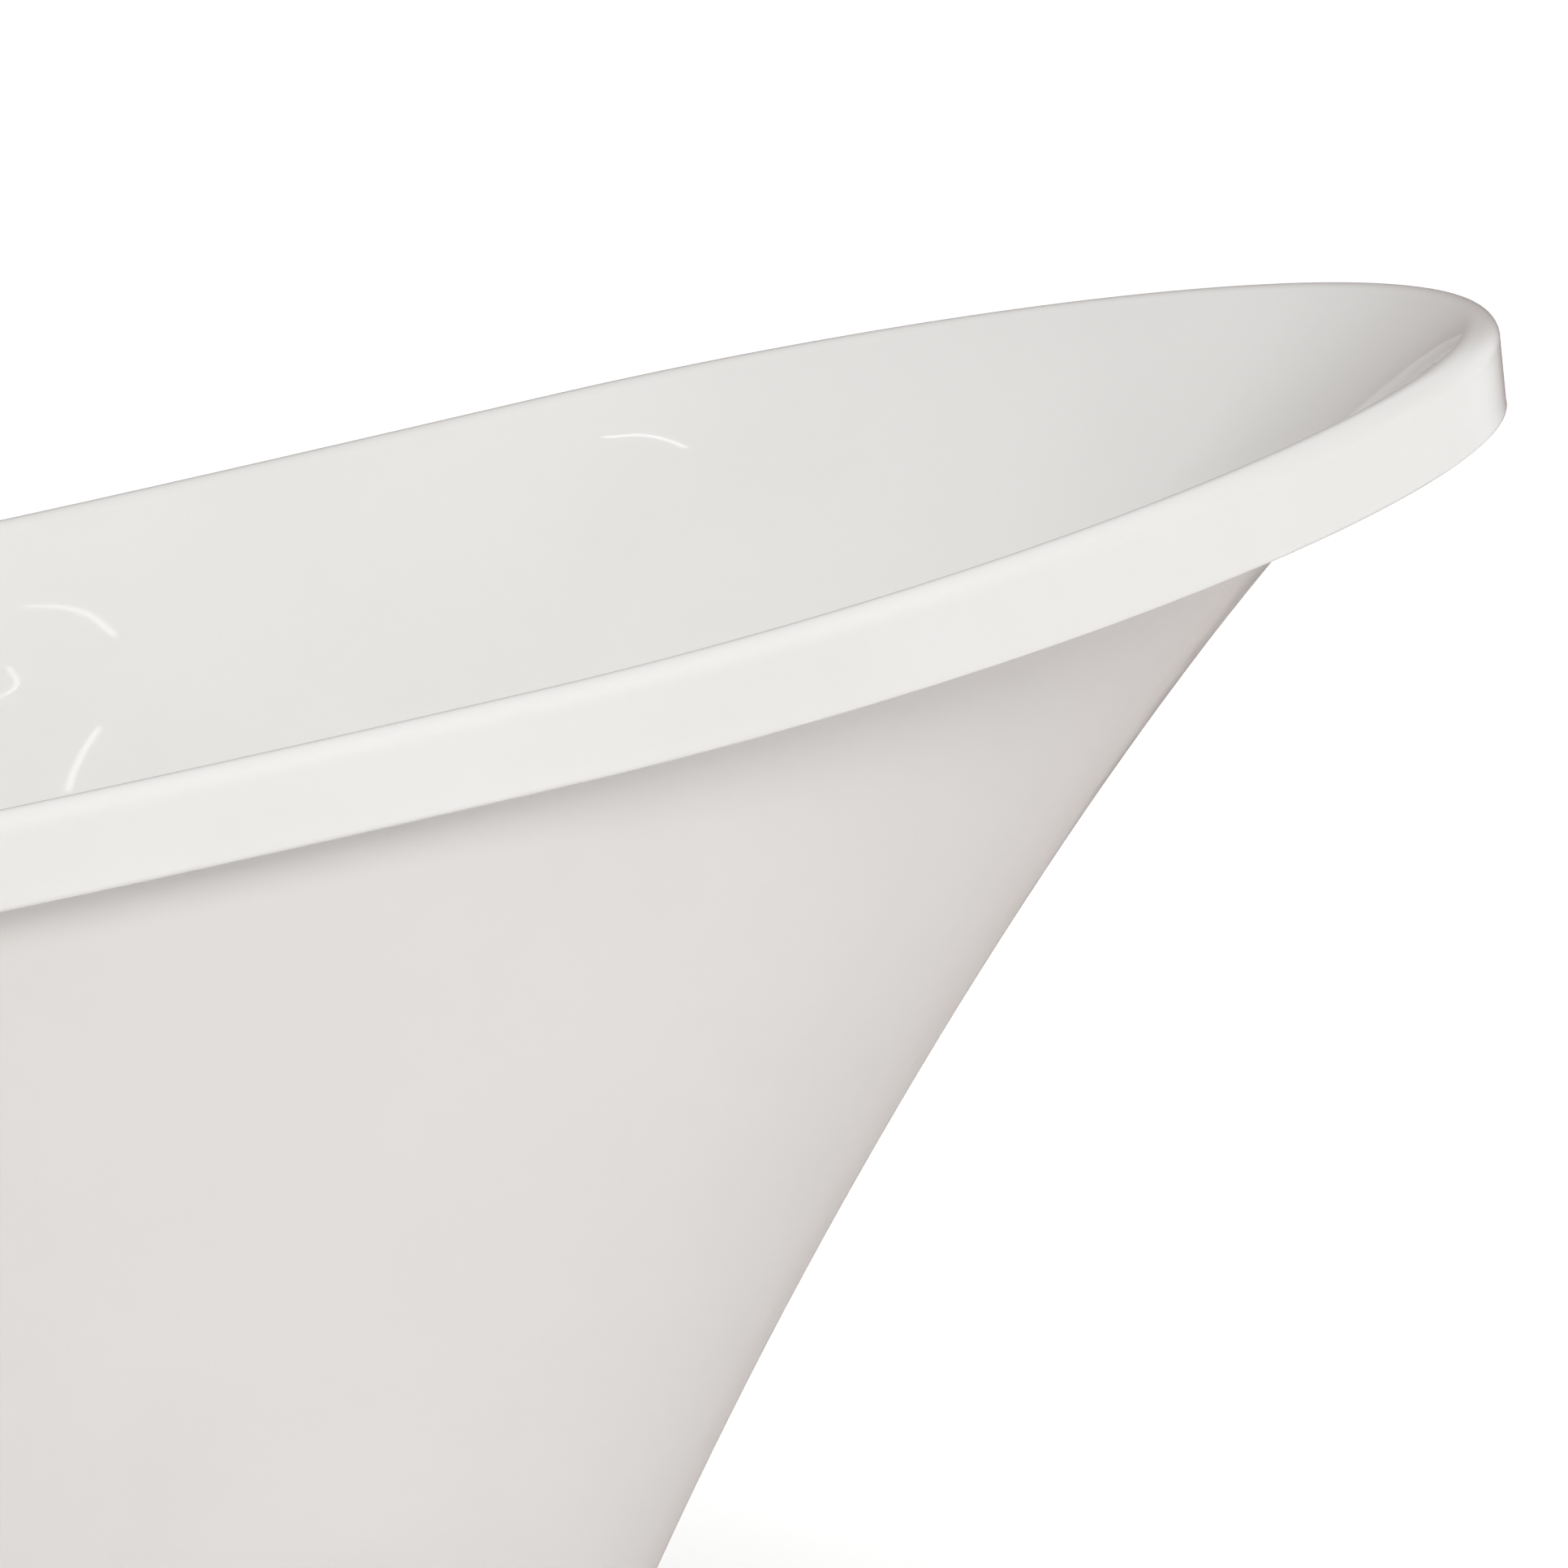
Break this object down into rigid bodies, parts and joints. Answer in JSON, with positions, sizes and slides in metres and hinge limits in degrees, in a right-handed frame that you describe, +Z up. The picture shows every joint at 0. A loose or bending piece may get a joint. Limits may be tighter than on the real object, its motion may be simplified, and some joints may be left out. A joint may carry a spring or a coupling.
{
  "type": "footed bathtub",
  "caption": "Freestanding slipper bath with a raised rolled rim at the head end, on chrome claw feet with levelling pads and a dial-worked pop-up waste.",
  "frame": {"origin": "on the floor under the middle of the bath's box", "axes": "+X along the bath to the raised head end, +Y across it, +Z up"},
  "size_m": [1.6971, 0.7292, 0.79],
  "materials": {
    "white_acrylic": "high gloss white",
    "white_gelcoat": "gloss white spray coat",
    "board": "sealed particle board",
    "zinc_steel": "bright zinc plate",
    "chrome": "polished chrome plate",
    "cast_chrome": "chrome plate over a cast foot",
    "black_rubber": "matt",
    "white_moulding": "moulded, satin",
    "brass_rod": "turned",
    "cable_sheath": "matt sheath",
    "pad_nylon": "satin nylon"
  },
  "bodies": {
    "tub": {"bath_shell": "white_acrylic", "outer_laminate": "white_gelcoat", "base_board": "board", "board_inserts": "zinc_steel", "foot_bolts": "zinc_steel", "foot_washers": "zinc_steel", "waste_flange": "chrome", "waste_gasket_top": "black_rubber", "waste_gasket_bottom": "black_rubber", "waste_body": "chrome", "waste_tail": "chrome", "tail_nut": "chrome", "cable_guide": "white_moulding", "overflow_faceplate": "chrome", "overflow_gasket_inner": "black_rubber", "overflow_gasket_outer": "black_rubber", "overflow_elbow": "chrome", "overflow_pipe": "chrome", "pipe_nut_upper": "chrome", "pipe_nut_lower": "chrome", "control_cable": "cable_sheath", "foot_head_left": "cast_chrome", "foot_head_right": "cast_chrome", "foot_tail_left": "cast_chrome", "foot_tail_right": "cast_chrome"},
    "dial": {"overflow_dial": "chrome", "dial_spindle": "brass_rod"},
    "plug": {"plug_cap": "chrome", "plug_seal": "black_rubber", "plug_stem": "brass_rod", "cable_plunger": "white_moulding"},
    "pad_head_left": {"leveller_pad_head_left": "pad_nylon"},
    "screw_head_left": {"leveller_screw_head_left": "zinc_steel"},
    "pad_head_right": {"leveller_pad_head_right": "pad_nylon"},
    "screw_head_right": {"leveller_screw_head_right": "zinc_steel"},
    "pad_tail_left": {"leveller_pad_tail_left": "pad_nylon"},
    "screw_tail_left": {"leveller_screw_tail_left": "zinc_steel"},
    "pad_tail_right": {"leveller_pad_tail_right": "pad_nylon"},
    "screw_tail_right": {"leveller_screw_tail_right": "zinc_steel"}
  },
  "joints": [
    {"name": "dial_turn", "type": "hinge", "parent": "tub", "child": "dial", "pos_m": [-0.77471, 0, 0.46246], "axis": [-0.9092, 0, -0.4164], "range_deg": [0, 100]},
    {"name": "plug_lift", "type": "slide", "parent": "tub", "child": "plug", "axis": [0, 0, 1], "range_m": [0, 0.0102]},
    {"name": "leveller_drop_head_left", "type": "slide", "parent": "tub", "child": "pad_head_left", "axis": [0, 0, -1], "range_m": [0, 0.012]},
    {"name": "leveller_turn_head_left", "type": "hinge", "parent": "pad_head_left", "child": "screw_head_left", "pos_m": [0.32322, 0.19497, 0.03], "axis": [0, 0, 1], "range_deg": [0, 2884]},
    {"name": "leveller_drop_head_right", "type": "slide", "parent": "tub", "child": "pad_head_right", "axis": [0, 0, -1], "range_m": [0, 0.012]},
    {"name": "leveller_turn_head_right", "type": "hinge", "parent": "pad_head_right", "child": "screw_head_right", "pos_m": [0.32322, -0.19497, 0.03], "axis": [0, 0, 1], "range_deg": [0, 2884]},
    {"name": "leveller_drop_tail_left", "type": "slide", "parent": "tub", "child": "pad_tail_left", "axis": [0, 0, -1], "range_m": [0, 0.012]},
    {"name": "leveller_turn_tail_left", "type": "hinge", "parent": "pad_tail_left", "child": "screw_tail_left", "pos_m": [-0.48721, 0.20757, 0.03], "axis": [0, 0, 1], "range_deg": [0, 2884]},
    {"name": "leveller_drop_tail_right", "type": "slide", "parent": "tub", "child": "pad_tail_right", "axis": [0, 0, -1], "range_m": [0, 0.012]},
    {"name": "leveller_turn_tail_right", "type": "hinge", "parent": "pad_tail_right", "child": "screw_tail_right", "pos_m": [-0.48721, -0.20757, 0.03], "axis": [0, 0, 1], "range_deg": [0, 2884]}
  ],
  "couplings": [
    {"joint": "plug_lift", "follows": "dial_turn", "m_per_rad": 0.0057296},
    {"joint": "leveller_turn_head_left", "follows": "leveller_drop_head_left", "rad_per_m": 4188.8},
    {"joint": "leveller_turn_head_right", "follows": "leveller_drop_head_right", "rad_per_m": 4188.8},
    {"joint": "leveller_turn_tail_left", "follows": "leveller_drop_tail_left", "rad_per_m": 4188.8},
    {"joint": "leveller_turn_tail_right", "follows": "leveller_drop_tail_right", "rad_per_m": 4188.8}
  ]
}
